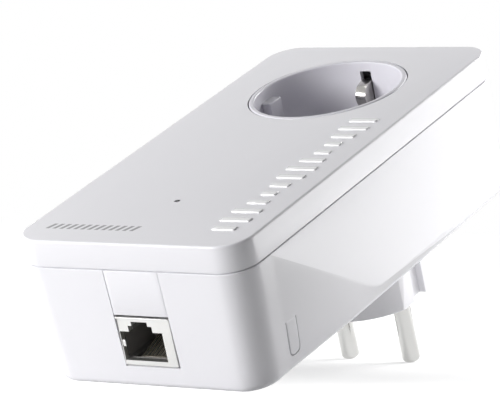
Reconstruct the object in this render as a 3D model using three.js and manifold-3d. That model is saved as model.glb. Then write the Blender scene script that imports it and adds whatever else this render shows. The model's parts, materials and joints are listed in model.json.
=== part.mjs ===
// Pass-through powerline adapter: earthed plug on the back, earthed socket in the face,
// network jack in the near end wall. Millimetres, +Z out of the face, +Y towards the socket end.
// The origin is the middle of the plug's end face.
import * as THREE from "three";
import { mergeVertices } from "three/addons/utils/BufferGeometryUtils.js";
import Module from "manifold-3d";

const wasm = await Module();
wasm.setup();

// Case
const caseWidth = 66;
const nearEnd = -100.4;
const farEnd = 31.6;
const caseLength = farEnd - nearEnd;
const caseMiddle = (farEnd + nearEnd) / 2;
const backZ = 20.2;
const faceZ = 58.8;
const partingZ = 51.7;
const cornerRadius = 8;
const wall = 2.2;
const faceWall = 2;
const seam = 0.3;
const floorZ = backZ + wall;
const endDraft = 1.2;
const sideDraft = 0.2;
const cavityDraft = { x: 3.2, y: 1.6 };
const faceEdge = 0.9;
const backEdge = 1.8;

// Plug and socket
const pinPitch = 19;
const pinRadius = 2.4;
const pinLength = 19;
const plugRadius = 18.4;
const plugFlat = 16;
const plugGroove = { halfWidth: 3, bottom: 14 };
const flangeRadius = 21;
const flangeTop = floorZ + 2.6;
const cupOuter = 21;
const cupInner = 19.6;
const cupDepth = 17.5;
const cupFloorZ = faceZ - cupDepth;
const cupUnderZ = cupFloorZ - 2.7;
const cupProud = 0.15;
const pinHoleRadius = 2.75;
const shutterTurn = 35;
const clipWidth = 3;
const clipSlot = { halfWidth: 1.9, low: cupUnderZ + 2, high: faceZ - 2.5 };

// Network jack
const jack = { x: -0.5, z: 32.4, width: 15.5, height: 13.4, depth: 15, face: -98.4 };
const jackSkin = 0.3;
const cutOut = { left: -7.1, right: 8.75, low: 26.05, high: 39.65 };
const contactPitch = 1.02;
const contactCount = 8;

// Side tab and its switch
const tab = { yLow: -86.2, yHigh: -81.4, zLow: 23.8, zHigh: 33.3, inside: 29.7 };
const tabNub = { y: -83.8, z: 28.3, radius: 1.1, end: 28.1 };

// Board and screws
const boardTop = jack.z - jack.height / 2 - seam;
const boardThick = 1.6;
const board = { halfWidth: 26.2, yLow: -95.8, yHigh: -26 };
const onBoard = boardTop + seam;
const bosses = [[-22, -91], [22, -91], [-24, 22], [24, 22]];
const boss = { radius: 3.2, bore: 1.7, depth: 13, low: floorZ + 0.6 };
const screwHead = { radius: 3, top: backZ + 1.25, low: backZ + 0.15 };
const lampY = nearEnd + 25.9;

const group = new THREE.Group();

// --- Solids ---

const toSolid = (geometry) => {
  const bare = new THREE.BufferGeometry();
  const source = geometry.index ? geometry.toNonIndexed() : geometry;
  bare.setAttribute("position", source.getAttribute("position"));
  const merged = mergeVertices(bare, 1e-4);
  const vertProperties = new Float32Array(merged.attributes.position.array);
  const triVerts = new Uint32Array(merged.index.array);
  return new wasm.Manifold(new wasm.Mesh({ numProp: 3, vertProperties, triVerts }));
};

const toGeometry = (solid) => {
  const { vertProperties, triVerts } = solid.getMesh();
  const geometry = new THREE.BufferGeometry();
  geometry.setAttribute("position", new THREE.BufferAttribute(vertProperties, 3));
  geometry.setIndex(new THREE.BufferAttribute(triVerts, 1));
  geometry.computeVertexNormals();
  return geometry;
};

const union = (first, ...rest) => rest.reduce((sum, next) => sum.add(next), first);
const without = (first, ...rest) => rest.reduce((left, next) => left.subtract(next), first);

// Box from its low corner to its high corner.
const box = (low, high) => {
  const size = high.map((value, i) => value - low[i]);
  const middle = high.map((value, i) => (value + low[i]) / 2);
  return toSolid(new THREE.BoxGeometry(...size).translate(...middle));
};

// Round bar between two heights, at a place on the XY plane.
const postZ = (x, y, radius, low, high, sides = 32) => {
  const geometry = new THREE.CylinderGeometry(radius, radius, high - low, sides);
  return toSolid(geometry.rotateX(Math.PI / 2).translate(x, y, (high + low) / 2));
};

// Round bar along X or Y between two places on that axis.
const barX = (y, z, radius, low, high, sides = 24) => {
  const geometry = new THREE.CylinderGeometry(radius, radius, high - low, sides);
  return toSolid(geometry.rotateZ(Math.PI / 2).translate((high + low) / 2, y, z));
};

const barY = (x, z, radius, low, high, sides = 24) => {
  const geometry = new THREE.CylinderGeometry(radius, radius, high - low, sides);
  return toSolid(geometry.translate(x, (high + low) / 2, z));
};

// Turned solid: radius and height pairs from the axis back to the axis.
const turned = (profile, x, y, sides = 32) => {
  const points = profile.map(([radius, height]) => new THREE.Vector2(radius, height));
  const geometry = new THREE.LatheGeometry(points, sides);
  return toSolid(geometry.rotateX(Math.PI / 2).translate(x, y, 0));
};

const roundedShape = (halfX, halfY, radius) => {
  const shape = new THREE.Shape();
  shape.moveTo(halfX, -halfY + radius);
  shape.lineTo(halfX, halfY - radius);
  shape.absarc(halfX - radius, halfY - radius, radius, 0, Math.PI / 2);
  shape.lineTo(-halfX + radius, halfY);
  shape.absarc(-halfX + radius, halfY - radius, radius, Math.PI / 2, Math.PI);
  shape.lineTo(-halfX, -halfY + radius);
  shape.absarc(-halfX + radius, -halfY + radius, radius, Math.PI, 1.5 * Math.PI);
  shape.lineTo(halfX - radius, -halfY);
  shape.absarc(halfX - radius, -halfY + radius, radius, 1.5 * Math.PI, 2 * Math.PI);
  return shape;
};

// Rounded slab centred on the case, with an edge radius at both ends and a draft towards its low end.
const slab = (halfX, halfY, radius, low, high, edge = 0, draft = { x: 0, y: 0 }) => {
  const geometry = new THREE.ExtrudeGeometry(roundedShape(halfX, halfY, radius), {
    depth: high - low - 2 * edge,
    curveSegments: 8,
    bevelEnabled: edge > 0,
    bevelThickness: edge,
    bevelSize: edge,
    bevelOffset: -edge,
    bevelSegments: 3,
  });
  const position = geometry.getAttribute("position");
  for (let i = 0; i < position.count; i += 1) {
    const z = position.getZ(i) + edge;
    const drop = 1 - z / (high - low);
    const x = position.getX(i) * (1 - (drop * draft.x) / halfX);
    const y = position.getY(i) * (1 - (drop * draft.y) / halfY);
    position.setXYZ(i, x, y + caseMiddle, z + low);
  }
  return toSolid(geometry);
};

const profileShape = (points) => new THREE.Shape(points.map(([u, v]) => new THREE.Vector2(u, v)));

// Prism along X from a profile of y and z, or along Y from a profile of x and z.
const prismX = (points, low, high) => {
  const geometry = new THREE.ExtrudeGeometry(profileShape(points), {
    depth: high - low,
    bevelEnabled: false,
  });
  const basis = new THREE.Matrix4().makeBasis(
    new THREE.Vector3(0, 1, 0),
    new THREE.Vector3(0, 0, 1),
    new THREE.Vector3(1, 0, 0),
  );
  return toSolid(geometry.applyMatrix4(basis).translate(low, 0, 0));
};

const prismY = (points, low, high) => {
  const geometry = new THREE.ExtrudeGeometry(profileShape(points), {
    depth: high - low,
    bevelEnabled: false,
  });
  const basis = new THREE.Matrix4().makeBasis(
    new THREE.Vector3(1, 0, 0),
    new THREE.Vector3(0, 0, 1),
    new THREE.Vector3(0, -1, 0),
  );
  return toSolid(geometry.applyMatrix4(basis).translate(0, high, 0));
};

// Profile of a bent strip: a smooth line of y and z points, thickened to both sides.
const stripProfile = (points, thickness, steps) => {
  const line = new THREE.SplineCurve(points.map(([y, z]) => new THREE.Vector2(y, z)));
  const places = Array.from({ length: steps + 1 }, (_, i) => i / steps);
  const offset = (side) => (t) => {
    const at = line.getPoint(t);
    const along = line.getTangent(t);
    const shift = (side * thickness) / 2;
    return [at.x - along.y * shift, at.y + along.x * shift];
  };
  return [...places.map(offset(-1)), ...places.reverse().map(offset(1))];
};

// Round wire along a smooth path.
const wire = (points, radius, segments = 24, sides = 10) => {
  const path = new THREE.CatmullRomCurve3(points.map((p) => new THREE.Vector3(...p)));
  const section = new THREE.Shape().absarc(0, 0, radius, 0, 2 * Math.PI);
  const geometry = new THREE.ExtrudeGeometry(section, {
    steps: segments,
    curveSegments: sides,
    extrudePath: path,
    bevelEnabled: false,
  });
  return toSolid(geometry);
};

// Large block whose one face holds a point and looks back along the normal.
const blockBeyond = (point, normal, size = 120) => {
  const geometry = new THREE.BoxGeometry(size, size, size).translate(0, 0, size / 2);
  const up = new THREE.Vector3(0, 0, 1);
  geometry.applyQuaternion(new THREE.Quaternion().setFromUnitVectors(up, normal));
  return toSolid(geometry.translate(point.x, point.y, point.z));
};

const ringOf = (angles, radius) =>
  angles.map((degrees) => {
    const angle = THREE.MathUtils.degToRad(degrees);
    return [radius * Math.cos(angle), radius * Math.sin(angle)];
  });

const add = (name, solid, color, roughness = 0.5, metalness = 0) => {
  const material = new THREE.MeshStandardMaterial({ color, roughness, metalness });
  const mesh = new THREE.Mesh(toGeometry(solid), material);
  mesh.name = name;
  group.add(mesh);
  return mesh;
};

const colours = {
  caseWhite: 0xf2f3f5,
  socketGrey: 0xe3e2e8,
  shutterGrey: 0xcfcdd6,
  nickel: 0xc9c6c0,
  brass: 0xc8a860,
  gold: 0xd9b65a,
  tin: 0xb9bbbd,
  label: 0xdcdde0,
  clear: 0xe6edf2,
  board: 0x1f5a34,
  black: 0x1c1c1e,
  ferrite: 0x3b3b3d,
  winding: 0xd0a63a,
  yellow: 0xd8b130,
  blue: 0x2d4f9c,
  sleeve: 0x24303f,
  aluminium: 0xb8bcc0,
  copper: 0xb5713a,
  brown: 0x6a4028,
  steel: 0x9a9ca0,
};

// --- Case ---

// Plane of the shallow facet on each long side: two points on the side wall, one on the back edge.
const facetPlane = (side) => {
  const onParting = new THREE.Vector3((side * caseWidth) / 2, nearEnd + 13.2, partingZ - 0.5);
  const onSide = new THREE.Vector3((side * caseWidth) / 2, nearEnd + 53.1, backZ + 5.2);
  const onBack = new THREE.Vector3(side * (caseWidth / 2 - 2.6), nearEnd + 5.4, backZ + 2);
  const normal = onSide.clone().sub(onParting).cross(onBack.clone().sub(onParting)).normalize();
  if (normal.x * side < 0) normal.negate();
  return { point: onParting, normal };
};

const rearOutside = () => {
  const halfX = caseWidth / 2;
  const halfY = caseLength / 2;
  const draft = { x: sideDraft, y: endDraft };
  const high = partingZ + 6;
  const grown = slab(halfX, halfY, cornerRadius, backZ, high, backEdge, draft);
  const above = box([-60, -150, partingZ - seam / 2], [60, 80, high + 1]);
  const facets = [-1, 1].map((side) => facetPlane(side));
  return without(grown, above, ...facets.map(({ point, normal }) => blockBeyond(point, normal)));
};

const rearCavity = () => {
  const halfX = caseWidth / 2 - wall;
  const halfY = caseLength / 2 - wall;
  return slab(halfX, halfY, cornerRadius - wall, floorZ, partingZ + 4, 0, cavityDraft);
};

const rearWalls = () => rearOutside().subtract(rearCavity());

const rearShell = () => {
  const label = box([-21.5, -80, backZ - 1], [21.5, -36, backZ + 0.45]);
  const plugHole = postZ(0, 0, plugRadius + seam, backZ - 1, floorZ + 1, 72);
  const notch = box(
    [cutOut.left, nearEnd - 2, cutOut.low],
    [cutOut.right, nearEnd + 6, partingZ + 1],
  );
  const jackPocket = box(
    [jack.x - jack.width / 2 - seam, jack.face - seam, jack.z - jack.height / 2 - seam],
    [jack.x + jack.width / 2 + seam, nearEnd + 8, jack.z + jack.height / 2 + seam],
  );
  const tabHole = box([tab.inside - 6, tab.yLow, tab.zLow], [40, tab.yHigh, tab.zHigh]);
  const holes = bosses.flatMap(([x, y]) => [
    postZ(x, y, boss.bore + 0.15, backZ - 1, floorZ + 1, 24),
    postZ(x, y, screwHead.radius + seam, backZ - 1, screwHead.top + 0.1),
  ]);
  const pegs = [[-18, -62], [18, -64], [-9, -27.5], [9, -27.5]].map(([x, y]) =>
    postZ(x, y, 1.4, floorZ - 0.5, boardTop - boardThick - seam, 20),
  );
  const shell = union(rearWalls(), ...pegs);
  return without(shell, label, plugHole, notch, jackPocket, tabHole, ...holes);
};

const sideTab = () => {
  const gap = seam;
  const region = box(
    [tab.inside, tab.yLow + gap, tab.zLow + gap],
    [40, tab.yHigh - gap, tab.zHigh - gap],
  );
  const nub = barX(tabNub.y, tabNub.z, tabNub.radius, tabNub.end, tab.inside + 0.5);
  return rearOutside().intersect(region).add(nub);
};

const portPanel = () => {
  const gap = 0.12;
  const region = box(
    [cutOut.left + gap, nearEnd - 2, cutOut.high],
    [cutOut.right - gap, nearEnd + wall, partingZ - seam],
  );
  return rearOutside().intersect(region);
};

// Raised row of plain bars on the face, whose lengths follow a slow wave.
const raisedBars = () => {
  const count = 14;
  return Array.from({ length: count }, (_, i) => {
    const y = nearEnd + 9.4 + i * 5.25;
    const halfLength = 3.1 + 1.1 * Math.sin(i * 1.15);
    return box([23.2 - halfLength, y, faceZ - 0.5], [23.2 + halfLength, y + 1.9, faceZ + 0.35]);
  });
};

const frontCover = () => {
  const halfX = caseWidth / 2;
  const halfY = caseLength / 2;
  const grown = slab(halfX, halfY, cornerRadius, partingZ - 3, faceZ, faceEdge);
  const below = box([-60, -150, partingZ - 8], [60, 80, partingZ + seam / 2]);
  const inside = slab(halfX - 3.5, halfY - 3.5, cornerRadius - 3.5, partingZ - 4, faceZ - faceWall);
  const lipOutside = slab(halfX - 3.1, halfY - 3.1, cornerRadius - 3.1, partingZ - 2, partingZ + 1.5);
  const lipInside = slab(halfX - 4.2, halfY - 4.2, cornerRadius - 4.2, partingZ - 3, partingZ + 3);
  const lip = lipOutside.subtract(lipInside);
  const posts = bosses.map(([x, y]) => postZ(x, y, boss.radius, boss.low, faceZ - faceWall + 0.5));
  const bores = bosses.map(([x, y]) =>
    postZ(x, y, boss.bore, boss.low - 1, screwHead.top + boss.depth + 1.5, 24),
  );
  const socketHole = postZ(0, 0, cupOuter + 0.25, partingZ - 5, faceZ + 2, 72);
  const lampHole = postZ(0, lampY, 0.85, faceZ - 6, faceZ + 2, 24);
  const skin = without(grown, below, inside);
  return without(union(skin, lip, ...posts, ...raisedBars()), socketHole, lampHole, ...bores);
};

const caseScrew = ([x, y]) => {
  const { radius, low, top } = screwHead;
  const tip = top + boss.depth;
  const profile = [
    [0, low], [radius - 0.4, low], [radius, low + 0.4], [radius, top],
    [1.4, top], [1.4, tip - 1], [0.5, tip], [0, tip],
  ];
  const driveSlots = [0, 1].map((turn) => {
    const half = turn ? [0.3, 1.6] : [1.6, 0.3];
    return box([x - half[0], y - half[1], low - 1], [x + half[0], y + half[1], low + 0.6]);
  });
  return without(turned(profile, x, y, 24), ...driveSlots);
};

const addCase = () => {
  add("front_cover", frontCover(), colours.caseWhite, 0.22);
  add("rear_shell", rearShell(), colours.caseWhite, 0.22);
  add("port_panel", portPanel(), colours.caseWhite, 0.22);
  add("pairing_tab", sideTab(), colours.caseWhite, 0.3);
  const label = box([-21.2, -79.7, backZ + 0.05], [21.2, -36.3, backZ + 0.3]);
  add("rating_label", label, colours.label, 0.6);
  const names = ["near_left", "near_right", "far_left", "far_right"];
  bosses.forEach((place, i) => {
    add("case_screw_" + names[i], caseScrew(place), colours.steel, 0.35, 0.9);
  });
};

// --- Plug end ---

const plugBase = () => {
  const profile = [
    [0, 0], [plugRadius - 0.6, 0], [plugRadius, 0.6], [plugRadius, floorZ + seam],
    [flangeRadius, floorZ + seam], [flangeRadius, flangeTop], [0, flangeTop],
  ];
  const flats = [-1, 1].map((side) => {
    const far = side * 30;
    const flat = [Math.min(side * plugFlat, far), Math.max(side * plugFlat, far)];
    return box([flat[0], -20, -1], [flat[1], 20, backZ - 2]);
  });
  const grooves = [-1, 1].map((side) => {
    const near = side * plugGroove.bottom;
    const edges = [Math.min(near, side * 30), Math.max(near, side * 30)];
    return box([edges[0], -plugGroove.halfWidth, -1], [edges[1], plugGroove.halfWidth, backZ - 2]);
  });
  const earthSlots = [-1, 1].map((side) => {
    const edges = [Math.min(side * 16.2, side * 30), Math.max(side * 16.2, side * 30)];
    return box([-2.9, edges[0], 0.9], [2.9, edges[1], flangeTop + 1]);
  });
  const pinHoles = pinPlaces().map(([x, y]) => postZ(x, y, pinRadius + 0.2, -1, flangeTop + 1));
  return without(turned(profile, 0, 0, 72), ...flats, ...grooves, ...earthSlots, ...pinHoles);
};

const pinPlaces = () => [[-pinPitch / 2, 0], [pinPitch / 2, 0]];

const plugPin = ([x, y]) => {
  const head = flangeTop + 1.6;
  const round = Array.from({ length: 7 }, (_, i) => {
    const angle = (i / 6) * (Math.PI / 2);
    return [pinRadius * Math.sin(angle), -pinLength + 2 * (1 - Math.cos(angle))];
  });
  const profile = [
    ...round, [pinRadius, flangeTop + seam], [pinRadius + 0.8, flangeTop + seam],
    [pinRadius + 0.8, head], [0, head],
  ];
  profile[0] = [0, -pinLength];
  return turned(profile, x, y);
};

const plugEarthStrip = (side) => {
  const line = [[17, 1.6], [18.1, 6], [18.15, 14], [17.4, 22], [17.2, 26]];
  const profile = stripProfile(line.map(([y, z]) => [side * y, z]), 0.7, 16);
  const ordered = side > 0 ? profile : [...profile].reverse();
  return prismX(ordered, -2.4, 2.4);
};

const addPlug = () => {
  add("plug_base", plugBase(), colours.caseWhite, 0.3);
  ["neutral_pin", "live_pin"].forEach((name, i) => {
    add(name, plugPin(pinPlaces()[i]), colours.nickel, 0.22, 1);
  });
  add("plug_earth_strip_near", plugEarthStrip(-1), colours.nickel, 0.3, 1);
  add("plug_earth_strip_far", plugEarthStrip(1), colours.nickel, 0.3, 1);
};

// --- Socket end ---

const socketCup = () => {
  const rim = faceZ + cupProud;
  const outside = postZ(0, 0, cupOuter, cupUnderZ, rim, 72);
  const inside = postZ(0, 0, cupInner, cupFloorZ, rim + 1, 72);
  const holes = pinPlaces().map(([x, y]) => postZ(x, y, pinHoleRadius, cupUnderZ - 1, cupFloorZ + 1));
  const ribs = [-1, 1].map((side) => {
    const edges = [Math.min(side * 16.8, side * 20.2), Math.max(side * 16.8, side * 20.2)];
    return box([edges[0], -2.9, cupFloorZ - 0.5], [edges[1], 2.9, faceZ - 3.2]);
  });
  const slots = [-1, 1].map((side) => {
    const edges = [Math.min(side * 17.5, side * 24), Math.max(side * 17.5, side * 24)];
    const { halfWidth, low, high } = clipSlot;
    return box([-halfWidth, edges[0], low], [halfWidth, edges[1], high]);
  });
  const pivot = postZ(0, 0, 2, cupUnderZ - 3, cupUnderZ + 0.5, 24);
  return without(union(outside.subtract(inside), ...ribs, pivot), ...holes, ...slots);
};

const socketShutter = () => {
  const low = cupUnderZ - 1.7;
  const disc = postZ(0, 0, 13, low, low + 1.4, 48);
  const places = ringOf([shutterTurn, 180 + shutterTurn], pinPitch / 2);
  const holes = places.map(([x, y]) => postZ(x, y, 2.85, low - 1, low + 3));
  return without(disc, postZ(0, 0, 2.3, low - 1, low + 3, 24), ...holes);
};

const shutterSpring = () => {
  const turns = 1.8;
  const steps = 22;
  const points = Array.from({ length: steps + 1 }, (_, i) => {
    const angle = (i / steps) * turns * 2 * Math.PI;
    const z = cupUnderZ - 3.6 - (i / steps) * 1.8;
    return [3.6 * Math.cos(angle), 3.6 * Math.sin(angle), z];
  });
  return wire(points, 0.3, 44, 4);
};

const socketContact = ([x, y]) => {
  const low = flangeTop + 1.9;
  const high = cupUnderZ - 2.1;
  const barrel = turned([[0, low], [3.5, low], [3.5, high], [0, high]], x, y);
  const bore = postZ(x, y, pinRadius + 0.1, low + 1.2, high + 1);
  const slit = box([x - 0.35, y - 5, low + 2.4], [x + 0.35, y + 5, high + 1]);
  return without(barrel, bore, slit);
};

const clipLine = [
  [22.3, 34.6], [22.2, 38.5], [20.9, 42.6], [17.5, 46], [15.6, 48.6], [15.1, 50.8], [16.3, 52.6],
  [18.4, 53.4], [20.6, 53.6],
];

const earthClip = (side) => {
  const profile = stripProfile(clipLine.map(([y, z]) => [side * y, z]), 0.6, 22);
  const ordered = side > 0 ? profile : [...profile].reverse();
  return prismX(ordered, -clipWidth / 2, clipWidth / 2);
};

const earthStrap = () => {
  const low = flangeTop + 2;
  const bridge = box([-2, -24.2, low], [2, 24.2, low + 0.9]);
  const ears = [-1, 1].map((side) => {
    const edges = [Math.min(side * 23.4, side * 24.2), Math.max(side * 23.4, side * 24.2)];
    return box([-2, edges[0], low], [2, edges[1], 37]);
  });
  return union(bridge, ...ears);
};

const addSocket = () => {
  add("socket_cup", socketCup(), colours.socketGrey, 0.3);
  add("socket_shutter", socketShutter(), colours.shutterGrey, 0.4);
  add("shutter_spring", shutterSpring(), colours.steel, 0.35, 1);
  ["neutral_contact", "live_contact"].forEach((name, i) => {
    add(name, socketContact(pinPlaces()[i]), colours.brass, 0.3, 1);
  });
  add("earth_clip_near", earthClip(-1), colours.nickel, 0.28, 1);
  add("earth_clip_far", earthClip(1), colours.nickel, 0.28, 1);
  add("earth_strap", earthStrap(), colours.brass, 0.35, 1);
};

// --- Network jack ---

// Opening of the jack: plug way with the stepped latch way above it.
const jackWay = (low, high) => {
  const outline = [
    [-6.15, -4.73], [6.15, -4.73], [6.15, 2.9], [3.45, 2.9], [3.45, 4.45], [2.3, 4.45],
    [2.3, 5.55], [-2.3, 5.55], [-2.3, 4.45], [-3.45, 4.45], [-3.45, 2.9], [-6.15, 2.9],
  ];
  return prismY(outline.map(([x, z]) => [x + jack.x, z + jack.z]), low, high);
};

const jackBlock = (inset, low, high) => {
  const halfX = jack.width / 2 - inset;
  const halfZ = jack.height / 2 - inset;
  return box([jack.x - halfX, low, jack.z - halfZ], [jack.x + halfX, high, jack.z + halfZ]);
};

const jackShield = () => {
  const back = jack.face + jack.depth;
  const inside = jackBlock(jackSkin, jack.face + jackSkin, back + 1);
  return without(jackBlock(0, jack.face, back), inside, jackWay(jack.face - 1, jack.face + 1));
};

const jackBody = () => {
  const low = jack.face + jackSkin + 0.2;
  const block = jackBlock(jackSkin + 0.25, low, jack.face + jack.depth - 0.6);
  const way = jackWay(low - 1, low + 11.2);
  const trough = box(
    [jack.x - 4.6, low + 0.6, jack.z - 5.95],
    [jack.x + 4.6, low + 12.6, jack.z - 4],
  );
  return without(block, way, trough);
};

const jackContacts = () => {
  const y = jack.face + 2;
  const z = jack.z - 5.35;
  const line = [[y, z], [y + 1.2, z + 0.25], [y + 4, z + 0.95], [y + 7, z + 1.75], [y + 9.1, z + 2.25]];
  const profile = stripProfile(line, 0.3, 10);
  const first = jack.x - (contactPitch * (contactCount - 1)) / 2;
  const wires = Array.from({ length: contactCount }, (_, i) => {
    const x = first + i * contactPitch;
    return prismX(profile, x - 0.2, x + 0.2);
  });
  const bar = box([first - 0.3, y - 0.1, z - 0.2], [-first + 2 * jack.x + 0.3, y + 0.6, z + 0.35]);
  return union(bar, ...wires);
};

const addJack = () => {
  add("jack_shield", jackShield(), colours.tin, 0.32, 1);
  add("jack_insulator", jackBody(), colours.black, 0.5);
  add("jack_contacts", jackContacts(), colours.gold, 0.25, 1);
};

// --- Board and what stands on it ---

const mainBoard = () => {
  const { halfWidth, yLow, yHigh } = board;
  const outline = roundedShape(halfWidth, (yHigh - yLow) / 2, 3);
  const sheet = new THREE.ExtrudeGeometry(outline, { depth: boardThick, bevelEnabled: false });
  const plate = toSolid(sheet.translate(0, (yHigh + yLow) / 2, boardTop - boardThick));
  const holes = bosses.map(([x, y]) =>
    postZ(x, y, boss.radius + 0.4, boardTop - boardThick - 1, boardTop + 1),
  );
  return without(plate, ...holes);
};

// Block standing on the board: its middle, its size and how high it stands.
const block = (x, y, width, length, height) =>
  box([x - width / 2, y - length / 2, onBoard], [x + width / 2, y + length / 2, onBoard + height]);

const can = (x, y, radius, height, shoulder = 0.5) => {
  const top = onBoard + height;
  const profile = [
    [0, onBoard], [radius, onBoard], [radius, top - shoulder], [radius - shoulder, top], [0, top],
  ];
  return turned(profile, x, y);
};

const transformerCore = (x, y) => {
  const middle = onBoard + 9.2;
  const frame = box([x - 11, y - 5, middle - 9], [x + 11, y + 5, middle + 9]);
  const windows = [-1, 1].map((side) => {
    const edges = [Math.min(side * 3, side * 8), Math.max(side * 3, side * 8)];
    return box([x + edges[0], y - 6, middle - 5.5], [x + edges[1], y + 6, middle + 5.5]);
  });
  return without(frame, ...windows);
};

const transformerWinding = (x, y) => {
  const middle = onBoard + 9.2;
  const outside = box([x - 7.6, y - 8.4, middle - 5.1], [x + 7.6, y + 8.4, middle + 5.1]);
  const inside = box([x - 3.3, y - 5.3, middle - 6], [x + 3.3, y + 5.3, middle + 6]);
  return outside.subtract(inside);
};

const lyingCan = (x, radius, low, high) => barY(x, onBoard + radius, radius, low, high, 32);

const disc = (x, y, radius, thickness) =>
  barY(x, onBoard + radius + 0.8, radius, y - thickness / 2, y + thickness / 2, 28);

const chokeRing = (x, y) => {
  const geometry = new THREE.TorusGeometry(4.4, 2, 10, 28);
  return toSolid(geometry.translate(x, y, onBoard + 2.1));
};

const finnedSink = (x, y, low) => {
  const half = 6.8;
  const fins = Array.from({ length: 5 }, (_, i) => {
    const left = x - half + i * 3.1;
    return box([left, y - half, low + 1.2], [left + 1.2, y + half, low + 8]);
  });
  return union(box([x - half, y - half, low], [x + half, y + half, low + 1.6]), ...fins);
};

const lightGuide = () => {
  const low = onBoard + 1.6;
  const profile = [
    [0, low], [2, low], [2, low + 1.4], [1.1, low + 3], [1.1, faceZ - 3.4],
    [0.6, faceZ - 2.4], [0.6, faceZ], [0, faceZ],
  ];
  return turned(profile, 0, lampY, 20);
};

const lead = (side) => {
  const x = (side * pinPitch) / 2;
  const route = [
    [x, -4.6, 30.5], [x + side * 0.4, -12, 31.5], [x + side * 1.2, -21, 30.6],
    [x + side * 2, -26.4, 28.6], [x + side * 2.2, -27.4, 26.6],
  ];
  return wire(route, 1, 20, 3);
};

const addBoard = () => {
  add("main_board", mainBoard(), colours.board, 0.55);
  add("network_magnetics", block(-0.9, -80.1, 12, 5.2, 6), colours.black, 0.6);
  add("modem_chip", block(12.5, -72, 13, 13, 1.3), colours.black, 0.55);
  add("heat_sink", finnedSink(12.5, -72, onBoard + 1.6), colours.aluminium, 0.4, 1);
  add("memory_chip", block(-11.5, -71, 8, 11, 1.1), colours.black, 0.55);
  add("status_lamp", block(0, lampY, 3, 2, 1.2), colours.clear, 0.3);
  add("light_guide", lightGuide(), colours.clear, 0.15);
  add("switch_body", block(23.1, -83.8, 5.4, 6, 5.4), colours.black, 0.6);
  const plungerLow = 23.1 + 2.7 + seam + 0.2;
  add("switch_plunger", barX(tabNub.y, tabNub.z, 1.2, plungerLow, tabNub.end - 0.12), colours.yellow, 0.5);
  add("line_transformer", block(-16, -82, 9, 9, 8), colours.black, 0.6);
  add("transformer_core", transformerCore(-13.6, -50), colours.ferrite, 0.7);
  add("transformer_winding", transformerWinding(-13.6, -50), colours.winding, 0.45);
  add("bulk_capacitor", lyingCan(18.2, 6.2, -61, -38), colours.sleeve, 0.35);
  add("output_capacitor", can(4.6, -58, 4, 14), colours.sleeve, 0.35);
  add("mains_choke", chokeRing(4.6, -46), colours.copper, 0.4, 0.6);
  add("x_capacitor", block(-15, -33.4, 17, 7.4, 14), colours.yellow, 0.45);
  add("varistor", disc(1, -32.5, 6, 4), colours.blue, 0.5);
  add("fuse", can(12, -32.5, 2.5, 9, 0.3), colours.brown, 0.5);
  add("line_coil_live", can(20.4, -31.6, 4, 10, 0.3), colours.copper, 0.4, 0.6);
  add("line_coil_neutral", can(-20.4, -66, 4, 10, 0.3), colours.copper, 0.4, 0.6);
  add("neutral_lead", lead(-1), colours.blue, 0.45);
  add("live_lead", lead(1), colours.brown, 0.45);
};

addCase();
addPlug();
addSocket();
addJack();
addBoard();

export default group;
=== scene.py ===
import json
import math
import bmesh
import bpy
from mathutils import Matrix, Vector


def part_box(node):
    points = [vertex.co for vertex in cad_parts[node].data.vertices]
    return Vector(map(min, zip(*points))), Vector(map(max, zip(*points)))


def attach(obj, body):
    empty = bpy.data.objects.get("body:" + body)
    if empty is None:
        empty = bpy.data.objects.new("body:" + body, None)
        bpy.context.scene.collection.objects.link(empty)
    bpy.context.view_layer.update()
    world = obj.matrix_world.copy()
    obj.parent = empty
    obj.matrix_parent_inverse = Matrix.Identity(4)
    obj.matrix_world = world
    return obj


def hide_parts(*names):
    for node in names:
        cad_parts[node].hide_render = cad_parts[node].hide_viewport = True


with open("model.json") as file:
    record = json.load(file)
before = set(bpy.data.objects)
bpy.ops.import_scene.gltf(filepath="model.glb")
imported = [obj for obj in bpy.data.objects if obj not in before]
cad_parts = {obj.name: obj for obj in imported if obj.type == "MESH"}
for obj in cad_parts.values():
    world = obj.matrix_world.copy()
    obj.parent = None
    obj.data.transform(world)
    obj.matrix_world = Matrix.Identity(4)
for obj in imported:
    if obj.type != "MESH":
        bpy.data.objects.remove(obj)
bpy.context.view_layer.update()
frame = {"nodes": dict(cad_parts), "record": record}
nodes = frame["nodes"]
mounts = {m["name"]: m for m in frame["record"]["mounts"]}
mm = 0.001


def boxOf(node):
    # low and high corners of a CAD node, in millimetres
    low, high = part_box(node)
    return low / mm, high / mm


def middleOf(node):
    low, high = boxOf(node)
    return (low.x + high.x) / 2, (low.y + high.y) / 2


coverLow, coverHigh = boxOf("front_cover")
shellLow, shellHigh = boxOf("rear_shell")
partingGap = 0.3  # between the CAD shell and the CAD cover
case = {
    "halfWidth": coverHigh.x,
    "nearEnd": coverLow.y,
    "farEnd": coverHigh.y,
    "faceZ": mounts["case_face"]["pos_m"][2] / mm,
    "backZ": shellLow.z,
    "partingZ": shellHigh.z + partingGap / 2,
    "seam": 0.24,
    "cornerRadius": 8.0,
}
case["middleY"] = (case["nearEnd"] + case["farEnd"]) / 2
case["halfLength"] = (case["farEnd"] - case["nearEnd"]) / 2
pinOffset = 9.5  # half the pitch of the pins and of their holes


def addObject(name, mesh):
    piece = bpy.data.objects.new(name, mesh)
    bpy.context.scene.collection.objects.link(piece)
    return piece


def meshFrom(name, points, faces):
    mesh = bpy.data.meshes.new(name)
    mesh.from_pydata([tuple(c * mm for c in p) for p in points], [], faces)
    mesh.validate()
    return addObject(name, mesh)


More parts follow.
